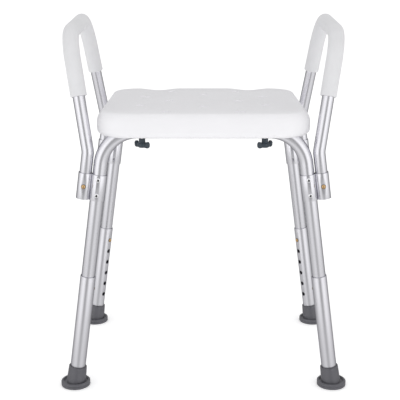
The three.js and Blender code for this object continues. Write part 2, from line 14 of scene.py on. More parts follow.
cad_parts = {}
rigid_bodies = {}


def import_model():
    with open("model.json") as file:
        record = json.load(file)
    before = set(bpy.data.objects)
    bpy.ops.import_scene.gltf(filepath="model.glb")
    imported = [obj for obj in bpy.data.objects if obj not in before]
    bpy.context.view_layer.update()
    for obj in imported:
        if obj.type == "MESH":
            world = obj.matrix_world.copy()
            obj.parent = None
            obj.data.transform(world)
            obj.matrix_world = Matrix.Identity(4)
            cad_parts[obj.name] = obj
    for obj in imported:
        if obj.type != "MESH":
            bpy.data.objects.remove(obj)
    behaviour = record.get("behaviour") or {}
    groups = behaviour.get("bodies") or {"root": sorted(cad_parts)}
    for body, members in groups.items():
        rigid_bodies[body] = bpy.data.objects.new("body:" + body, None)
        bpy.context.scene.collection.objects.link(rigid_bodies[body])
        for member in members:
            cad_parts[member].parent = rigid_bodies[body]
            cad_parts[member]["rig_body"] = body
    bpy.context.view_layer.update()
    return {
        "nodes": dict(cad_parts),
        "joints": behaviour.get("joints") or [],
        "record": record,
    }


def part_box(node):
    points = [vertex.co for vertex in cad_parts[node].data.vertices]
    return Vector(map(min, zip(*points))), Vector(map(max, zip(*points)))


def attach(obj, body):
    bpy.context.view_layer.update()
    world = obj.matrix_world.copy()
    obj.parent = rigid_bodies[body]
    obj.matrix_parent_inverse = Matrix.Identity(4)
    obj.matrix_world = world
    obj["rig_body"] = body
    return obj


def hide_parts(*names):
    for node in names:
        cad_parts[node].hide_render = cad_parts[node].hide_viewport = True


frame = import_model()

SIDES = {"left": -1, "right": 1}
ENDS = {"front": -1, "rear": 1}
CORNERS = [(f"{end}_{side}", SIDES[side], ENDS[end]) for end in ENDS for side in SIDES]


def middle(node):
    low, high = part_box(node)
    return (low + high) / 2


def mm(value):
    return value / 1000


# ---------------------------------------------------------------- sizes

OVERRUN = mm(5)  # how far a cutting tool runs on past what it cuts
FOOT_SIDES, TUBE_SIDES, BENT_TUBE_SIDES, PIN_SIDES = 96, 64, 48, 40
MOULDED_EDGE, SAWN_EDGE, DRILLED_EDGE = mm(0.5), mm(0.35), mm(0.25)

foot_middle = middle("rubber_foot_front_right")
FOOT_X = foot_middle.x
FRAME_Y = -foot_middle.y
leg_axes = {j["name"]: Vector(j["axis"]) for j in frame["joints"]}
LEAN = math.asin(leg_axes["leg_height_front_left"].x)

FRAME_RADIUS = mm(12.7)
FRAME_WALL = mm(1.4)
FRAME_BEND = mm(68)
RUN_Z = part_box("front_frame_tube")[1].z - FRAME_RADIUS
FRAME_END_Z = mm(176)
STUD_HOLE = mm(3.6)

EXTENSION_RADIUS = mm(14.3)
EXTENSION_WALL = mm(1.3)
EXTENSION_SPAN = (mm(8.3), mm(220) / math.cos(LEAN))
HOLE_PITCH = mm(25.4)
HOLE_COUNT = 6
BUTTON_HEIGHT = mm(194) / math.cos(LEAN)
BUTTON_TURN = math.radians(35)
PIN_RADIUS = mm(3.9)
PIN_HOLE = mm(4.4)
PIN_PROUD = mm(2.5)
PIN_DOME_RISE = mm(2.2)
PIN_FLANGE_RADIUS = mm(4.7)
PIN_FLANGE_DEPTH = mm(2.9)
PIN_FLANGE_THICKNESS = mm(1)
# How dark the painted shade ring on a pin's rim is, where the pin meets its hole.
PIN_RIM_PAINTED_SHADE = 0.85

FOOT_DISC = mm(10.5)
FOOT_DISC_DISH = mm(3)
FOOT_GROOVE = mm(0.5)
FOOT_TREADS = (mm(7), mm(13), mm(19))
FOOT_TREAD_WIDTH = mm(2)
FOOT_TREAD_DEPTH = mm(1)
FOOT_SLEEVE_SPAN = (mm(4), mm(39.5) / math.cos(LEAN))
FOOT_SOCKET_RADIUS = mm(14.7)
FOOT_SOCKET_FLOOR = mm(6)

ARM_RADIUS = mm(11.1)
ARM_WALL = mm(1.2)
ARM_SPACING = mm(25.4)
ARM_ELBOW_Z = mm(455.5)
ARM_TOP_Z = {"front": mm(662), "rear": mm(678)}
ARM_SPLAY = 0.163
ARM_CONVERGE = {"front": 0.202, "rear": 0.148}
ARM_ELBOW_BEND = mm(26)
ARM_TOP_BEND = mm(64)
ARM_BUTTON_HEIGHT = mm(390) / math.cos(LEAN)
PAD_RADIUS = mm(15)
PAD_WALL = mm(3.5)
PAD_END_ROUND = mm(1.4)
PAD_END_Z = {"front": mm(553), "rear": mm(568)}

BRACKET_SPAN = (mm(366) / math.cos(LEAN), mm(414) / math.cos(LEAN))
BRACKET_LEG_RADIUS = mm(14.4)
BRACKET_ARM_RADIUS = mm(12.8)
BRACKET_WALL = mm(1.4)
SCREW_HEIGHTS = {"lower": mm(377) / math.cos(LEAN), "upper": mm(405.5) / math.cos(LEAN)}
SCREW_HOLE = mm(2.4)
SCREW_CORE = mm(1.9)
SCREW_HEAD = mm(4.2)
SCREW_HEAD_SIDE = mm(0.9)
SCREW_HEAD_RISE = mm(1.9)
SCREW_TURN = math.radians(20)
RECESS_LENGTH = mm(4.8)
RECESS_WIDTH = mm(1.8)

seat_low, seat_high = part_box("seat")
SEAT_CORNER = mm(60)
SEAT_EDGE = mm(14)
SEAT_EDGE_DROP = mm(23)
SEAT_FOOT_ROLL = mm(12)
SEAT_WALL = mm(5)
SEAT_ROOF = mm(7)
SEAT_GRID = mm(8)
CORNER_STEPS = 12
TUBE_CHANNEL = mm(13.2)
CHANNEL_SLOT = mm(316)
CHANNEL_SLOT_DEPTH = mm(30)
BOSS_RADIUS = mm(11)
INSERT_SOCKET = mm(5.5)
INSERT_ROOF = mm(8.7)
SCOOP_X = mm(96)
SCOOP_HALF_WIDTH = mm(46)
SCOOP_DEPTH = mm(4)
DRAIN_RADIUS = mm(4.5)
DRAIN_DISH = mm(9)
DRAIN_DISH_DEPTH = mm(4)
DRAIN_SPAN = mm(188)
KNOB_X = middle("knob_stud_front_right").x
KNOB_HUB = [(0, -16), (6, -16), (8.3, -14), (8.3, -9), (5.8, -6), (5.8, 0), (0, 0)]
WING_OUTLINE = [
    (4, -15.5), (14, -16.5), (17, -14), (17.5, -8), (15, -4.5), (11.5, -4.8), (9.5, -8), (4, -8.5)
]
WING_THICKNESS = mm(5.5)
WING_EDGE = mm(1.3)
WING_TURN = math.radians(40)
STUD_BORE = mm(3.3)
STUD_BORE_DEPTH = mm(10)


# ---------------------------------------------------------------- camera

def make_camera():
    lens_for_a_36_mm_sensor = 82.6
    tilt_down = math.radians(14.04)
    data = bpy.data.cameras.new("camera")
    data.lens = lens_for_a_36_mm_sensor
    data.shift_x = -0.00875
    data.shift_y = -0.0013
    camera = bpy.data.objects.new("camera", data)
    camera.location = (0, -1.795, 0.774)
    camera.rotation_euler = (math.radians(90) - tilt_down, 0, 0)
    bpy.context.scene.collection.objects.link(camera)
    bpy.context.scene.camera = camera


# ---------------------------------------------------------------- shader nodes

class Value:
    """A socket of a node tree. Arithmetic on it adds Math nodes."""

    def __init__(self, nodes, socket):
        self.nodes = nodes
        self.socket = socket

    def _math(self, operation, first, second):
        return self.nodes.add("Math", {"operation": operation}, {0: first, 1: second})

    def __add__(self, other):
        return self._math("ADD", self, other)

    def __sub__(self, other):
        return self._math("SUBTRACT", self, other)

    def __rsub__(self, other):
        return self._math("SUBTRACT", other, self)

    def __mul__(self, other):
        return self._math("MULTIPLY", self, other)

    __radd__ = __add__
    __rmul__ = __mul__


class Nodes:
    """Adds nodes to a material's or world's tree."""

    def __init__(self, tree):
        self.tree = tree

    def add(self, kind, settings=None, inputs=None, output=0):
        node = self.tree.nodes.new("ShaderNode" + kind)
        for name, value in (settings or {}).items():
            if name == "stops":
                self._set_stops(node.color_ramp, value)
            else:
                setattr(node, name, value)
        for name, value in (inputs or {}).items():
            self.feed(node.inputs[name], value)
        return Value(self, node.outputs[output])

    def feed(self, socket, value):
        if isinstance(value, Value):
            self.tree.links.new(value.socket, socket)
        else:
            socket.default_value = value

    def _set_stops(self, ramp, stops):
        while len(ramp.elements) < len(stops):
            ramp.elements.new(0.5)
        for element, (place, level) in zip(ramp.elements, stops):
            element.position = place
            element.color = (level, level, level, 1)

    def noise(self, vector, scale, detail, roughness=0.5):
        inputs = {"Vector": vector, "Scale": scale, "Detail": detail, "Roughness": roughness}
        return self.add("TexNoise", {}, inputs)

    def two_tones(self, mask, first, second):
        inputs = {0: mask, 6: (*first, 1), 7: (*second, 1)}
        return self.add("Mix", {"data_type": "RGBA"}, inputs, output=2)


class Finish(Nodes):
    """A material with one Principled shader."""

    def __init__(self, name):
        self.material = bpy.data.materials.new(name)
        self.material.use_nodes = True
        super().__init__(self.material.node_tree)
        self.shader = self.tree.nodes["Principled BSDF"]
        self.place = self.add("TexCoord", output=3)

    def set(self, **values):
        for name, value in values.items():
            self.feed(self.shader.inputs[name.replace("_", " ")], value)

    def bump(self, height, distance, strength):
        inputs = {"Height": height, "Distance": distance, "Strength": strength}
        self.set(Normal=self.add("Bump", {}, inputs))


def shade(colour, factor):
    return tuple(channel * factor for channel in colour)


# ---------------------------------------------------------------- finishes

def moulded_plastic(name, colour, roughness, grain):
    """Moulded plastic with a fine spark-eroded grain and slightly uneven gloss."""
    finish = Finish(name)
    clouds = finish.noise(finish.place, 14, 2)
    specks = finish.noise(finish.place, 1 / grain, 4, 0.6)
    finish.set(Base_Color=finish.two_tones(clouds, shade(colour, 0.97), shade(colour, 1.02)))
    finish.set(Roughness=specks * 0.16 + (roughness - 0.08))
    finish.bump(specks, mm(0.06), 0.55)
    return finish.material


def closed_cell_foam(name, colour):
    """Foam sleeve: small open pores in a soft skin, with a faint mottle."""
    finish = Finish(name)
    mottle = finish.noise(finish.place, 45, 3)
    inputs = {"Vector": finish.place, "Scale": 620.0}
    pores = finish.add("TexVoronoi", {"feature": "SMOOTH_F1"}, inputs)
    skin = finish.noise(finish.place, 260, 4, 0.6)
    finish.set(Base_Color=finish.two_tones(mottle, shade(colour, 0.95), shade(colour, 1.03)))
    finish.set(Roughness=skin * 0.2 + 0.68, Sheen_Weight=0.12, Sheen_Roughness=0.5)
    finish.bump(pores * 0.6 + skin * 0.5, mm(0.18), 0.5)
    return finish.material


def drawn_aluminium(name, colour, swept, roughness=0.12):
    """Satin tube with faint draw lines along it. A swept tube carries its own coordinates."""
    finish = Finish(name)
    if swept:
        around = finish.add("Attribute", {"attribute_name": "around"}, output=1)
        along = finish.add("Attribute", {"attribute_name": "along"}, output=2)
    else:
        inputs = {"Vector": finish.place, "Scale": (1, 1, 0)}
        around = finish.add("Mapping", {"vector_type": "POINT"}, inputs)
        along = finish.add("SeparateXYZ", {}, {0: finish.place}, output=2)
    inputs = {"Vector": around, "W": along * 9, "Scale": 900.0, "Detail": 3.0, "Roughness": 0.6}
    lines = finish.add("TexNoise", {"noise_dimensions": "4D"}, inputs)
    handling = finish.noise(finish.place, 38, 3)
    finish.set(Base_Color=finish.two_tones(lines, shade(colour, 0.94), shade(colour, 1.04)))
    finish.set(Metallic=1.0, Roughness=lines * 0.1 + handling * 0.06 + roughness)
    finish.set(Specular_Tint=(0.30, 0.30, 0.32, 1))
    finish.bump(lines, mm(0.02), 0.35)
    return finish.material


def moulded_rubber(name, colour):
    """Grey rubber with a fine matt mould skin and a few scuffs."""
    finish = Finish(name)
    skin = finish.noise(finish.place, 900, 4, 0.65)
    scuffs = finish.noise(finish.place, 70, 5, 0.7)
    finish.set(Base_Color=finish.two_tones(scuffs, shade(colour, 0.85), shade(colour, 1.18)))
    finish.set(Roughness=scuffs * 0.2 + 0.28)
    finish.bump(skin * 0.7 + scuffs * 0.3, mm(0.12), 0.5)
    return finish.material


def turned_metal(name, colour, roughness, lines_scale, grime=(0.05, 0.045, 0.04)):
    """Small turned or plated parts: uneven tool marks, and painted shade, a dark matt colour,
    where the painted-shade attribute is 1.
    """
    finish = Finish(name)
    marks = finish.noise(finish.place, lines_scale, 5, 0.65)
    # Painted shade: where this attribute is 1 the metal turns to the dark painted shade colour,
    # matt and not metallic.
    painted_shade_mask = finish.add("Attribute", {"attribute_name": "grime"}, output=2)
    bare_metal = finish.two_tones(marks, shade(colour, 0.88), shade(colour, 1.06))
    inputs = {0: painted_shade_mask, 6: bare_metal, 7: (*grime, 1)}
    finish.set(Base_Color=finish.add("Mix", {"data_type": "RGBA"}, inputs, output=2))
    finish.set(Metallic=1 - painted_shade_mask, Roughness=marks * 0.12 + painted_shade_mask * 0.4 + (roughness - 0.06))
    finish.bump(marks, mm(0.03), 0.35)
    return finish.material


ALUMINIUM = (0.81, 0.805, 0.845)
FINISHES = {
    "seat_plastic": moulded_plastic("white_moulded_seat", (0.845, 0.84, 0.862), 0.42, mm(1.1)),
    "pad_foam": closed_cell_foam("pale_foam_sleeve", (0.715, 0.715, 0.73)),
    "aluminium_tube": drawn_aluminium("drawn_aluminium", ALUMINIUM, swept=False),
    "foot_rubber": moulded_rubber("grey_rubber", (0.098, 0.097, 0.110)),
    "knob_plastic": moulded_plastic("slate_nylon", (0.032, 0.046, 0.060), 0.32, mm(0.9)),
    "brass": turned_metal("turned_brass", (0.66, 0.44, 0.22), 0.24, 1400),
    "steel": turned_metal("plated_steel", (0.90, 0.90, 0.92), 0.17, 1100),
}
SWEPT_ALUMINIUM = drawn_aluminium("drawn_bent_aluminium", ALUMINIUM, swept=True)
# The leg extensions' aluminium: rougher, and darker by 0.94 as painted shade for the dimmer light
# on the lower legs.
ROUGH_ALUMINIUM_WITH_PAINTED_SHADE = drawn_aluminium(
    "rough_aluminium_with_painted_shade", shade(ALUMINIUM, 0.94), swept=False, roughness=0.24
)
# Screw steel, with a near-black painted shade colour for the screw's recess and tip.
SCREW_STEEL = turned_metal(
    "bright_screw_steel", (0.95, 0.95, 0.97), 0.18, 1100, grime=(0.02, 0.02, 0.024)
)
SLOT_OF_NODE = {entry["node"]: entry["material_slot"] for entry in frame["record"]["subparts"]}


# ---------------------------------------------------------------- mesh tools

def object_of(name, mesh):
    """Makes an object from a bmesh and frees the bmesh."""
    data = bpy.data.meshes.new(name)
    mesh.to_mesh(data)
    mesh.free()
    made = bpy.data.objects.new(name, data)
    bpy.context.scene.collection.objects.link(made)
    return made


def mesh_of(data):
    mesh = bmesh.new()
    mesh.from_mesh(data)
    return mesh


def together(meshes):
    """One bmesh that holds several, which it frees."""
    whole = bmesh.new()
    for mesh in meshes:
        data = bpy.data.meshes.new("part")
        mesh.to_mesh(data)
        mesh.free()
        whole.from_mesh(data)
        bpy.data.meshes.remove(data)
    return whole


def combine(mesh, tools, operation):
    """Joins closed shapes to a closed mesh, or cuts them out of it."""
    for tool in tools:
        target = object_of("target", mesh)
        other = object_of("tool", tool)
        boolean = target.modifiers.new("combine", "BOOLEAN")
        boolean.operation = operation
        boolean.solver = "EXACT"
        boolean.object = other
        shaped = target.evaluated_get(bpy.context.evaluated_depsgraph_get())
        data = bpy.data.meshes.new_from_object(shaped)
        mesh = mesh_of(data)
        for spare in (target, other):
            old = spare.data
            bpy.data.objects.remove(spare)
            bpy.data.meshes.remove(old)
        bpy.data.meshes.remove(data)
        bmesh.ops.dissolve_degenerate(mesh, dist=1e-7, edges=mesh.edges)
    return mesh


def cut(mesh, *tools):
    return combine(mesh, [together(tools)], "DIFFERENCE")


def join(mesh, *tools):
    return combine(mesh, tools, "UNION")


def moved(mesh, matrix):
    bmesh.ops.transform(mesh, matrix=matrix, verts=mesh.verts)
    return mesh


def verts_in(made):
    return [g for g in made if isinstance(g, bmesh.types.BMVert)]


def open_edges_in(made):
    return [g for g in made if isinstance(g, bmesh.types.BMEdge) and len(g.link_faces) == 1]


def quarter_turn(steps):
    """Angles from 0 to a right angle."""
    return [math.pi / 2 * k / steps for k in range(steps + 1)]


def block(size, at):
    mesh = bmesh.new()
    place = Matrix.Translation(at) @ Matrix.Diagonal((*size, 1))
    bmesh.ops.create_cube(mesh, size=1, matrix=place)
    return mesh


def pointing(direction, at=(0, 0, 0)):
    """Turns a piece made along +Z to lie along a direction, from a point."""
    turn = Vector((0, 0, 1)).rotation_difference(Vector(direction)).to_matrix().to_4x4()
    return Matrix.Translation(at) @ turn


def turned(profile, steps=48):
    """A closed shape spun about +Z. The profile is [radius, height], from the bottom up."""
    mesh = bmesh.new()
    points = [mesh.verts.new((radius, 0, height)) for radius, height in profile]
    edges = [mesh.edges.new(pair) for pair in zip(points, points[1:])]
    spin = {"cent": (0, 0, 0), "axis": (0, 0, 1), "angle": math.tau, "steps": steps}
    bmesh.ops.spin(mesh, geom=points + edges, use_merge=True, use_duplicate=False, **spin)
    bmesh.ops.remove_doubles(mesh, verts=mesh.verts, dist=1e-7)
    bmesh.ops.recalc_face_normals(mesh, faces=mesh.faces)
    return mesh


def rod(radius, start, end, steps=32):
    start, end = Vector(start), Vector(end)
    length = (end - start).length
    mesh = turned([[0, 0], [radius, 0], [radius, length], [0, length]], steps)
    return moved(mesh, pointing(end - start, start))


def soften(mesh, width, steps=2, sharpness=35):
    """Rounds every edge that is sharper than an angle in degrees."""
    limit = math.radians(sharpness)
    edges = [e for e in mesh.edges if len(e.link_faces) == 2 and e.calc_face_angle() > limit]
    shape = {"affect": "EDGES", "segments": steps, "profile": 0.5, "material": -1}
    fit = {"offset": width, "offset_type": "OFFSET", "clamp_overlap": True}
    bmesh.ops.bevel(mesh, geom=edges, **fit, **shape)
    return mesh


def finish_piece(node, mesh, material=None, sharpness=38):
    """Turns a mesh into a finished piece that stands for its CAD node and rides on its body."""
    for face in mesh.faces:
        face.smooth = True
    limit = math.radians(sharpness)
    for edge in mesh.edges:
        edge.smooth = len(edge.link_faces) == 2 and edge.calc_face_angle() < limit
    piece = object_of(f"{node}_piece", mesh)
    piece.data.materials.append(material or FINISHES[SLOT_OF_NODE[node]])
    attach(piece, frame["nodes"][node]["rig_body"])
    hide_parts(node)
    return piece


class Sweep:
    """A round tube drawn along straights and bends. It stores how far along each ring is."""

    def __init__(self, start, direction, radius):
        self.mesh = bmesh.new()
        self.along = self.mesh.verts.layers.float.new("along")
        around = self.mesh.verts.layers.float_vector.new("around")
        place = pointing(direction, start)
        ring = bmesh.ops.create_circle(
            self.mesh, segments=BENT_TUBE_SIDES, radius=radius, matrix=place
        )
        for vert in ring["verts"]:
            vert[around] = place.inverted() @ vert.co
        self.at = Vector(start)
        self.length = 0
        self.edges = self.mesh.edges[:]

    def _step(self, made, length):
        self.edges = open_edges_in(made)
        self.length += length
        for vert in {v for edge in self.edges for v in edge.verts}:
            vert[self.along] = self.length
        return verts_in(made)

    def straight(self, end):
        travel = Vector(end) - self.at
        made = bmesh.ops.extrude_edge_only(self.mesh, edges=self.edges)["geom"]
        bmesh.ops.translate(self.mesh, vec=travel, verts=self._step(made, travel.length))
        self.at = Vector(end)

    def bend(self, centre, axis, angle, steps, arc):
        verts = list({v for edge in self.edges for v in edge.verts})
        for _ in range(steps):
            spin = {"cent": centre, "axis": axis, "angle": angle / steps, "steps": 1}
            geom = verts + self.edges
            made = bmesh.ops.spin(self.mesh, geom=geom, use_duplicate=False, **spin)["geom_last"]
            verts = self._step(made, arc / steps)


def swept_tube(corners, bends, radius, bend_steps=20):
    """The outer skin of a tube with round bends at its corners, open at both ends."""
    corners = [Vector(corner) for corner in corners]
    sweep = Sweep(corners[0], corners[1] - corners[0], radius)
    for before, corner, after, bend in zip(corners, corners[1:], corners[2:], bends):
        into = (corner - before).normalized()
        out = (after - corner).normalized()
        angle = into.angle(out)
        back = bend * math.tan(angle / 2)
        axis = into.cross(out).normalized()
        sweep.straight(corner - into * back)
        centre = sweep.at + axis.cross(into) * bend
        sweep.bend(centre, axis, angle, bend_steps, bend * angle)
        sweep.at = corner + out * back
    sweep.straight(corners[-1])
    return sweep.mesh


def walled(mesh, wall):
    """Gives an open skin a wall inside it."""
    bmesh.ops.recalc_face_normals(mesh, faces=mesh.faces)
    holder = object_of("skin", mesh)
    solidify = holder.modifiers.new("wall", "SOLIDIFY")
    solidify.thickness = wall
    solidify.offset = -1
    solidify.use_even_offset = True
    shaped = holder.evaluated_get(bpy.context.evaluated_depsgraph_get())
    data = bpy.data.meshes.new_from_object(shaped)
    made = mesh_of(data)
    old = holder.data
    bpy.data.objects.remove(holder)
    bpy.data.meshes.remove(old)
    bpy.data.meshes.remove(data)
    return made


# ---------------------------------------------------------------- places on the stool

def leg_place(side, end):
    """The leg's own frame: its origin on the floor under the leg, +Z up along the leg."""
    at = Matrix.Translation((side * FOOT_X, end * FRAME_Y, 0))
    return at @ Matrix.Rotation(-side * LEAN, 4, "Y")


def button_direction(side, end):
    """Which way a leg's button and height holes face, in the leg's own frame."""
    return Vector((-side * math.cos(BUTTON_TURN), -end * math.sin(BUTTON_TURN), 0))


def knob_place(side, end, z=0.0):
    return Vector((side * KNOB_X, end * FRAME_Y, z))


def hole(direction, height, across=0.0):
    """The tool for a pin's hole, through one wall only."""
    centre = Vector((across, 0, height))
    start, reach = mm(4), mm(20)
    return rod(PIN_HOLE, centre + direction * start, centre + direction * reach)


def frame_corners(end):
    """Where the straight lines of a frame tube would meet."""
    tangent = math.tan(LEAN)
    corner_x = FOOT_X - tangent * RUN_Z
    end_x = FOOT_X - tangent * FRAME_END_Z
    points = [(-end_x, FRAME_END_Z), (-corner_x, RUN_Z), (corner_x, RUN_Z), (end_x, FRAME_END_Z)]
    return [(x, end * FRAME_Y, z) for x, z in points]


def arm_elbow(side, end):
    """Where an arm's upright leaves the line of the leg."""
    height = (ARM_ELBOW_Z - ARM_SPACING * math.sin(LEAN)) / math.cos(LEAN)
    return leg_place(side, end) @ Vector((side * ARM_SPACING, 0, height))


def arm_rising(side, end_name, z):
    """The point at a height on an arm's upright, above its elbow."""
    end = ENDS[end_name]
    elbow = arm_elbow(side, end)
    rise = z - elbow.z
    return elbow + Vector((side * ARM_SPLAY * rise, -end * ARM_CONVERGE[end_name] * rise, rise))


# ---------------------------------------------------------------- frame and legs

def frame_tube(name, end):
    """An upside-down U: two legs and the run between them under the seat."""
    skin = swept_tube(frame_corners(end), [FRAME_BEND] * 2, FRAME_RADIUS)
    mesh = walled(skin, FRAME_WALL)
    holes = []
    for side in SIDES.values():
        drilled = hole(button_direction(side, end), BUTTON_HEIGHT)
        holes.append(moved(drilled, leg_place(side, end)))
        at = knob_place(side, end, RUN_Z)
        reach = Vector((0, 0, FRAME_RADIUS + OVERRUN))
        holes.append(rod(STUD_HOLE, at - reach, at + reach))
    finish_piece(name, soften(cut(mesh, *holes), DRILLED_EDGE), SWEPT_ALUMINIUM)


def leg_extension(corner, side, end):
    """A tube over the leg with a row of height holes on its inner side."""
    low, high = EXTENSION_SPAN
    outer = rod(EXTENSION_RADIUS, (0, 0, low), (0, 0, high), TUBE_SIDES)
    bore_radius = EXTENSION_RADIUS - EXTENSION_WALL
    bore = rod(bore_radius, (0, 0, low - OVERRUN), (0, 0, high + OVERRUN), TUBE_SIDES)
    direction = button_direction(side, end)
    holes = [hole(direction, BUTTON_HEIGHT - k * HOLE_PITCH) for k in range(HOLE_COUNT)]
    tube = soften(cut(cut(outer, bore), *holes), SAWN_EDGE)
    finish_piece(f"leg_extension_{corner}", moved(tube, leg_place(side, end)), ROUGH_ALUMINIUM_WITH_PAINTED_SHADE)


def foot_tread(inner):
    """The tool for a ring groove in the sole."""
    outer = inner + FOOT_TREAD_WIDTH
    low, high = -FOOT_TREAD_DEPTH, FOOT_TREAD_DEPTH
    ring = [[inner, low], [outer, low], [outer, high], [inner, high], [inner, low]]
    return turned(ring, FOOT_SIDES)


def rubber_foot(corner, side, end):
    """A flat disc with a rim, level on the floor, under a sleeve that leans with the leg."""
    low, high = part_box(f"rubber_foot_{corner}")
    radius = (high.y - low.y) / 2
    disc = turned(
        [
            [0, 0],
            [radius - mm(1.2), 0],
            [radius, mm(1.2)],
            [radius, FOOT_DISC * 0.5 - FOOT_GROOVE],
            [radius - mm(0.8), FOOT_DISC * 0.5],
            [radius, FOOT_DISC * 0.5 + FOOT_GROOVE],
            [radius, FOOT_DISC - mm(1.5)],
            [radius - mm(1.5), FOOT_DISC],
            [radius - mm(4.2), FOOT_DISC],
            [radius - mm(5.6), FOOT_DISC - FOOT_DISC_DISH],
            [0, FOOT_DISC - FOOT_DISC_DISH],
        ],
        FOOT_SIDES,
    )
    treads = [foot_tread(inner) for inner in FOOT_TREADS]
    disc = moved(cut(disc, *treads), Matrix.Rotation(side * LEAN, 4, "Y"))
    sleeve_low, sleeve_high = FOOT_SLEEVE_SPAN
    sleeve = turned(
        [
            [0, sleeve_low],
            [mm(18.5), sleeve_low],
            [mm(16.9), sleeve_high - mm(1)],
            [mm(16.2), sleeve_high],
            [0, sleeve_high],
        ],
        TUBE_SIDES,
    )
    floor, mouth = (0, 0, FOOT_SOCKET_FLOOR), (0, 0, sleeve_high + OVERRUN)
    socket = rod(FOOT_SOCKET_RADIUS, floor, mouth, TUBE_SIDES)
    foot = soften(cut(join(disc, sleeve), socket), MOULDED_EDGE)
    finish_piece(f"rubber_foot_{corner}", moved(foot, leg_place(side, end)))


# ---------------------------------------------------------------- snap buttons

def snap_button(node, place, direction, at, bore, tip):
    """A domed pin with a flange inside the tube, and a painted shade ring round its rim, where it
    meets its hole.
    """
    low = bore - PIN_FLANGE_DEPTH
    high = low + PIN_FLANGE_THICKNESS
    dome_foot = tip - PIN_DOME_RISE
    dome = [[PIN_RADIUS * math.cos(a), dome_foot + PIN_DOME_RISE * math.sin(a)]
            for a in quarter_turn(8)[:-1]]
    flange = [[0, low], [PIN_FLANGE_RADIUS, low], [PIN_FLANGE_RADIUS, high], [PIN_RADIUS, high]]
    pin = turned(flange + dome + [[0, tip]], PIN_SIDES)
    # Painted shade: the dome's foot and the flange are painted dark, for the shade in the gap
    # round the pin's hole.
    grime = pin.verts.layers.float.new("grime")
    for vert in pin.verts:
        vert[grime] = PIN_RIM_PAINTED_SHADE * float(vert.co.xy.length > PIN_RADIUS * 0.97)
    finish_piece(node, moved(moved(pin, pointing(direction, at)), place))


def leg_button(corner, side, end):
    at = (0, 0, BUTTON_HEIGHT)
    bore, tip = FRAME_RADIUS - FRAME_WALL, EXTENSION_RADIUS + PIN_PROUD
    pin = (button_direction(side, end), at, bore, tip)
    snap_button(f"leg_button_{corner}", leg_place(side, end), *pin)


def arm_button(corner, side, end):
    at = (side * ARM_SPACING, 0, ARM_BUTTON_HEIGHT)
    bore, tip = ARM_RADIUS - ARM_WALL, BRACKET_ARM_RADIUS + PIN_PROUD
    pin = (Vector((0, end, 0)), at, bore, tip)
    snap_button(f"arm_button_{corner}", leg_place(side, end), *pin)


# ---------------------------------------------------------------- arm brackets

def arm_bracket(corner, side, end):
    """Two short tubes side by side in one piece, drilled for the arm's pin and two screws."""
    low, high = BRACKET_SPAN
    across = side * ARM_SPACING

    def upright(radius, x, over=0.0):
        return rod(radius, (x, 0, low - over), (x, 0, high + over), TUBE_SIDES)

    body = join(upright(BRACKET_LEG_RADIUS, 0), upright(BRACKET_ARM_RADIUS, across))
    leg_bore = upright(BRACKET_LEG_RADIUS - BRACKET_WALL, 0, OVERRUN)
    arm_bore = upright(BRACKET_ARM_RADIUS - BRACKET_WALL, across, OVERRUN)
    body = cut(body, leg_bore, arm_bore)
    holes = [hole(Vector((0, end, 0)), ARM_BUTTON_HEIGHT, across)]
    reach = BRACKET_LEG_RADIUS + OVERRUN
    holes += [rod(SCREW_HOLE, (0, -reach, z), (0, reach, z)) for z in SCREW_HEIGHTS.values()]
    body = soften(cut(body, *holes), SAWN_EDGE)
    finish_piece(f"arm_bracket_{corner}", moved(body, leg_place(side, end)))


def bracket_screw(node, side, end, height):
    """A pan-head screw with a cross recess, through the bracket and the leg."""
    face = BRACKET_LEG_RADIUS - mm(0.2)
    tip = mm(1.5) - face
    shoulder = face + SCREW_HEAD_SIDE
    core = [[0, tip], [SCREW_CORE - mm(0.6), tip], [SCREW_CORE, tip + mm(0.7)], [SCREW_CORE, face]]
    dome = [[SCREW_HEAD * math.cos(a), shoulder + SCREW_HEAD_RISE * math.sin(a)]
            for a in quarter_turn(8)[:-1]]
    crown = shoulder + SCREW_HEAD_RISE
    screw = turned(core + [[SCREW_HEAD, face]] + dome + [[0, crown]], PIN_SIDES)
    recess_depth, recess_middle = mm(4), face + mm(2.6)
    for size in ((RECESS_LENGTH, RECESS_WIDTH), (RECESS_WIDTH, RECESS_LENGTH)):
        screw = cut(screw, block((*size, recess_depth), (0, 0, recess_middle)))
    recess_floor = recess_middle - recess_depth / 2
    # Painted shade: the floor of the cross recess and the tip inside the leg are painted dark.
    grime = screw.verts.layers.float.new("grime")
    for vert in screw.verts:
        on_floor = abs(vert.co.z - recess_floor) < mm(0.1) and vert.co.xy.length < mm(3)
        at_tip = vert.co.z < tip + mm(1.5)
        vert[grime] = float(on_floor or at_tip)
    turn = pointing((0, end, 0), (0, 0, height)) @ Matrix.Rotation(SCREW_TURN, 4, "Z")
    finish_piece(node, moved(moved(screw, turn), leg_place(side, end)), SCREW_STEEL)


# ---------------------------------------------------------------- arms

def arm_top_corners(side):
    return [arm_rising(side, end_name, ARM_TOP_Z[end_name]) for end_name in ENDS]


def arm_tube(name, side):
    """One tube for the arm's two uprights and its top bar."""
    low_front, low_rear = (
        leg_place(side, end) @ Vector((side * ARM_SPACING, 0, BRACKET_SPAN[0] + mm(3)))
        for end in ENDS.values()
    )
    elbow_front, elbow_rear = (arm_elbow(side, end) for end in ENDS.values())
    corners = [low_front, elbow_front, *arm_top_corners(side), elbow_rear, low_rear]
    bends = [ARM_ELBOW_BEND, ARM_TOP_BEND, ARM_TOP_BEND, ARM_ELBOW_BEND]
    mesh = walled(swept_tube(corners, bends, ARM_RADIUS), ARM_WALL)
    holes = []
    for end in ENDS.values():
        drilled = hole(Vector((0, end, 0)), ARM_BUTTON_HEIGHT, side * ARM_SPACING)
        holes.append(moved(drilled, leg_place(side, end)))
    finish_piece(name, soften(cut(mesh, *holes), DRILLED_EDGE), SWEPT_ALUMINIUM)


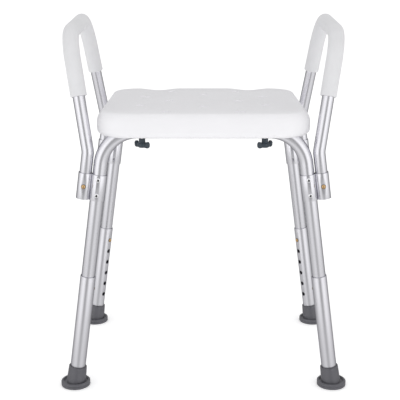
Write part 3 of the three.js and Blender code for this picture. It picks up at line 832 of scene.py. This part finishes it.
def arm_pad(name, side):
    """A soft foam sleeve: a walled sweep with round ends."""
    front, rear = (arm_rising(side, end_name, PAD_END_Z[end_name]) for end_name in ENDS)
    corners = [front, *arm_top_corners(side), rear]
    mesh = walled(swept_tube(corners, [ARM_TOP_BEND] * 2, PAD_RADIUS, bend_steps=24), PAD_WALL)
    piece = finish_piece(name, soften(mesh, PAD_END_ROUND, steps=3))


# ---------------------------------------------------------------- seat

def corner_ring(inset, z):
    """A ring that holds the seat's four round corners, all about the middle for now."""
    mesh = bmesh.new()
    half_step = math.tau / (8 * CORNER_STEPS)
    radius = (SEAT_CORNER - inset) / math.cos(half_step)
    turn = Matrix.Translation((0, 0, z)) @ Matrix.Rotation(half_step, 4, "Z")
    bmesh.ops.create_circle(mesh, segments=4 * CORNER_STEPS, radius=radius, matrix=turn)
    return mesh


def quarters(verts):
    """The four quarters of a ring, each with the centre of the seat's corner there."""
    centre_x = seat_high.x - SEAT_CORNER
    centre_y = seat_high.y - SEAT_CORNER
    for sign_x in SIDES.values():
        for sign_y in ENDS.values():
            inside = [v for v in verts if v.co.x * sign_x > 0 and v.co.y * sign_y > 0]
            yield inside, Vector((sign_x * centre_x, sign_y * centre_y, 0))


def skin_through(levels, outside_from):
    """A closed skin through [inset, z] levels with flat ends. It marks the outside levels."""
    mesh = corner_ring(*levels[0])
    outside = mesh.verts.layers.float.new("outside")
    for quarter, centre in list(quarters(mesh.verts)):
        bmesh.ops.translate(mesh, vec=centre, verts=quarter)
    edges = mesh.edges[:]
    bmesh.ops.edgeloop_fill(mesh, edges=edges)
    for k, ((last_inset, last_z), (inset, z)) in enumerate(zip(levels, levels[1:]), 1):
        made = bmesh.ops.extrude_edge_only(mesh, edges=edges)["geom"]
        edges = open_edges_in(made)
        verts = verts_in(made)
        bmesh.ops.translate(mesh, vec=(0, 0, z - last_z), verts=verts)
        shrink = (SEAT_CORNER - inset) / (SEAT_CORNER - last_inset)
        for quarter, centre in quarters(verts):
            about = Matrix.Translation(-centre)
            bmesh.ops.scale(mesh, vec=(shrink, shrink, 1), space=about, verts=quarter)
        for vert in verts:
            vert[outside] = float(k >= outside_from)
    bmesh.ops.edgeloop_fill(mesh, edges=edges)
    bmesh.ops.recalc_face_normals(mesh, faces=mesh.faces)
    return mesh


def rounded_edge(inset, z, reach, rise, steps):
    """Levels of a quarter-ellipse edge that closes in while it rises."""
    return [(inset + reach * (1 - math.cos(a)), z + rise * math.sin(a))
            for a in quarter_turn(steps)]


def slice_grid(mesh, pitch):
    """Cuts a mesh into a grid between the seat's round corners."""
    for axis in (0, 1):
        reach = seat_high[axis] - SEAT_CORNER - mm(3)
        count = round(2 * reach / pitch)
        for k in range(count + 1):
            place, normal = Vector(), Vector()
            place[axis] = reach * (2 * k / count - 1)
            normal[axis] = 1
            geom = mesh.verts[:] + mesh.edges[:] + mesh.faces[:]
            bmesh.ops.bisect_plane(mesh, geom=geom, plane_co=place, plane_no=normal, dist=1e-6)


def hollow_depth(x, y):
    """How deep the two thigh hollows are: deepest at the rear, running out to the front."""
    across = min(abs(abs(x) - SCOOP_X) / SCOOP_HALF_WIDTH, 1)
    back = (y - seat_low.y) / (seat_high.y - seat_low.y)
    flat_front = 0.18
    run = min(max((back - flat_front) / (1 - flat_front), 0), 1)
    return SCOOP_DEPTH * 0.5 * (1 + math.cos(math.pi * across)) * run


def drain_places():
    inner = [(mm(67), share) for share in (-0.84, -0.04, 0.72)]
    outer = [(mm(118), share) for share in (-0.38, 0.3)]
    middle_row = [(0, share) for share in (-0.47, 0.42)]
    pairs = [(sign * x, share) for x, share in inner + outer for sign in SIDES.values()]
    return [(x, share * DRAIN_SPAN) for x, share in pairs + middle_row]


def drain_tool(x, y):
    """The tool for a drain hole: a straight hole under a bowl with a broken rim."""
    top = seat_high.z - hollow_depth(x, y)
    below, above = top - mm(20), top + OVERRUN
    bowl = [[DRAIN_RADIUS + (DRAIN_DISH - DRAIN_RADIUS) * math.sin(a),
             top - DRAIN_DISH_DEPTH * math.cos(a)] for a in quarter_turn(6)]
    rim = DRAIN_DISH + mm(0.8)
    rim_levels = [[rim, top + mm(0.3)], [rim, above], [0, above]]
    profile = [[0, below], [DRAIN_RADIUS, below], *bowl, *rim_levels]
    return moved(turned(profile, 32), Matrix.Translation((x, y, 0)))


def tube_channels():
    """The tools for the two channels under the seat that the frame tubes lie in."""
    for end in ENDS.values():
        run = swept_tube(frame_corners(end), [FRAME_BEND] * 2, TUBE_CHANNEL)
        bmesh.ops.holes_fill(run, edges=run.edges)
        bmesh.ops.recalc_face_normals(run, faces=run.faces)
        yield run
        size = (CHANNEL_SLOT, 2 * TUBE_CHANNEL, CHANNEL_SLOT_DEPTH)
        yield block(size, (0, end * FRAME_Y, RUN_Z - CHANNEL_SLOT_DEPTH / 2))


def seat_levels():
    """The [inset, z] levels of the seat's shell, on the inside and on the outside."""
    bottom, top = seat_low.z, seat_high.z
    wall_top = top - SEAT_EDGE_DROP
    roof_reach = (SEAT_EDGE - SEAT_WALL, SEAT_EDGE_DROP - SEAT_ROOF)
    inner = [
        (SEAT_FOOT_ROLL + mm(3.5), bottom),
        (SEAT_WALL, bottom + SEAT_FOOT_ROLL + mm(3)),
        *rounded_edge(SEAT_WALL, wall_top, *roof_reach, 6),
    ]
    foot_roll = [(SEAT_FOOT_ROLL * (1 - math.sin(a)), bottom + SEAT_FOOT_ROLL * (1 - math.cos(a)))
                 for a in quarter_turn(6)]
    outer = foot_roll + rounded_edge(0, wall_top, SEAT_EDGE, SEAT_EDGE_DROP, 10)
    return inner[::-1], outer


def seat():
    """A hollow shell with thigh hollows, bosses for the inserts, tube channels and drain holes."""
    inner, outer = seat_levels()
    shell = skin_through(inner + outer, len(inner))
    slice_grid(shell, SEAT_GRID)
    outside = shell.verts.layers.float["outside"]
    top = seat_high.z
    for vert in shell.verts:
        raised = min(max((vert.co.z - (top - SEAT_EDGE_DROP)) / SEAT_EDGE_DROP, 0), 1)
        vert.co.z -= hollow_depth(vert.co.x, vert.co.y) * raised * vert[outside]

    def uprights(radius, low, high):
        return [rod(radius, knob_place(side, end, low), knob_place(side, end, high))
                for side in SIDES.values() for end in ENDS.values()]

    boss_foot = RUN_Z + FRAME_RADIUS + mm(0.4)
    boss_top = top - SEAT_ROOF + mm(2)
    shell = join(shell, together(uprights(BOSS_RADIUS, boss_foot, boss_top)))
    for tool in tube_channels():
        shell = cut(shell, tool)
    shell = cut(shell, *uprights(INSERT_SOCKET, RUN_Z, top - INSERT_ROOF))
    shell = cut(shell, *[drain_tool(x, y) for x, y in drain_places()])
    finish_piece("seat", shell, sharpness=42)


# ---------------------------------------------------------------- wing knobs

def knob_wing(top):
    """One wing of the knob, out along +X: its outline thickened, with rounded edges."""
    wing = bmesh.new()
    points = [wing.verts.new((mm(x), -WING_THICKNESS / 2, top + mm(z))) for x, z in WING_OUTLINE]
    face = wing.faces.new(points)
    made = bmesh.ops.extrude_face_region(wing, geom=[face])["geom"]
    bmesh.ops.translate(wing, vec=(0, WING_THICKNESS, 0), verts=verts_in(made))
    bmesh.ops.recalc_face_normals(wing, faces=wing.faces)
    return soften(wing, WING_EDGE, steps=3, sharpness=25)


def knob(corner, side, end):
    """A waisted hub with two wings, bored for its stud."""
    node = f"knob_{corner}"
    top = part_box(node)[1].z
    body = turned([[mm(radius), top + mm(z)] for radius, z in KNOB_HUB])
    towards = math.atan2(end * math.sin(WING_TURN), -side * math.cos(WING_TURN))
    for turn in (towards, towards + math.pi):
        body = join(body, moved(knob_wing(top), Matrix.Rotation(turn, 4, "Z")))
    bore = rod(STUD_BORE, (0, 0, top - STUD_BORE_DEPTH), (0, 0, top + OVERRUN))
    body = soften(cut(body, bore), MOULDED_EDGE, sharpness=40)
    finish_piece(node, moved(body, Matrix.Translation(knob_place(side, end))))


# ---------------------------------------------------------------- floor and light

def make_floor():
    mesh = bmesh.new()
    bmesh.ops.create_grid(mesh, x_segments=1, y_segments=1, size=60)
    floor = object_of("floor", mesh)
    finish = Finish("pale_floor")
    speckle = finish.noise(finish.place, 3, 2)
    finish.set(Base_Color=finish.two_tones(speckle, (0.90, 0.90, 0.90), (0.93, 0.93, 0.93)))
    finish.set(Roughness=0.9, Emission_Color=(1, 1, 1, 1), Emission_Strength=0.3)
    floor.data.materials.append(finish.material)
    floor.visible_glossy = False


def softbox(x):
    """A lamp in front of the stool that no metal mirrors."""
    data = bpy.data.lights.new("softbox", "AREA")
    data.energy = 4
    data.shape = "RECTANGLE"
    data.size = 1.6
    data.size_y = 1.8
    lamp = bpy.data.objects.new("softbox", data)
    lamp.location = (x, -2.6, 1.6)
    stool_middle = Vector((0, 0, 0.4))
    lamp.rotation_euler = (stool_middle - lamp.location).to_track_quat("-Z", "Y").to_euler()
    lamp.visible_glossy = False
    bpy.context.scene.collection.objects.link(lamp)


def make_light():
    """A soft studio: pale walls, brightest at the front left and right and dimmer to the rear."""
    world = bpy.data.worlds.new("studio")
    bpy.context.scene.world = world
    world.use_nodes = True
    nodes = Nodes(world.node_tree)
    direction = nodes.add("TexCoord", output=0)
    flat = nodes.add("VectorMath", {"operation": "MULTIPLY"}, {0: direction, 1: (1, 1, 0)})
    flat = nodes.add("VectorMath", {"operation": "NORMALIZE"}, {0: flat})
    rearward = nodes.add("SeparateXYZ", {}, {0: flat}, output=1) * 0.5 + 0.5
    upward = nodes.add("SeparateXYZ", {}, {0: direction}, output=2) * 0.5 + 0.5
    wall_stops = [
        (0.0, 0.30), (0.012, 0.40), (0.05, 0.98), (0.16, 1.04),
        (0.30, 0.92), (0.52, 0.66), (0.72, 0.38), (1.0, 0.34),
    ]
    share_stops = [(0.27, 0.35), (0.44, 1), (0.62, 1), (0.8, 0)]
    rest_stops = [(0.3, 0.62), (0.7, 0.92)]
    walls = nodes.add("ValToRGB", {"stops": wall_stops}, {0: rearward})
    wall_share = nodes.add("ValToRGB", {"stops": share_stops}, {0: upward})
    rest = nodes.add("ValToRGB", {"stops": rest_stops}, {0: upward})
    background = world.node_tree.nodes["Background"]
    nodes.feed(background.inputs["Color"], (1, 1, 1, 1))
    strength = walls * wall_share * 1.2 + rest * (1 - wall_share)
    nodes.feed(background.inputs["Strength"], strength)
    for x in (-1.5, 1.5):
        softbox(x)
    bpy.context.scene.view_settings.view_transform = "Standard"


# ---------------------------------------------------------------- assembly

make_camera()
make_floor()
make_light()

for node, obj in frame["nodes"].items():
    obj.data.materials.clear()
    obj.data.materials.append(FINISHES[SLOT_OF_NODE[node]])

seat()
for end_name, end in ENDS.items():
    frame_tube(f"{end_name}_frame_tube", end)
for side_name, side in SIDES.items():
    arm_tube(f"arm_tube_{side_name}", side)
    arm_pad(f"arm_pad_{side_name}", side)
for corner, side, end in CORNERS:
    leg_extension(corner, side, end)
    rubber_foot(corner, side, end)
    leg_button(corner, side, end)
    arm_button(corner, side, end)
    arm_bracket(corner, side, end)
    for level, height in SCREW_HEIGHTS.items():
        bracket_screw(f"bracket_screw_{level}_{corner}", side, end, height)
    knob(corner, side, end)
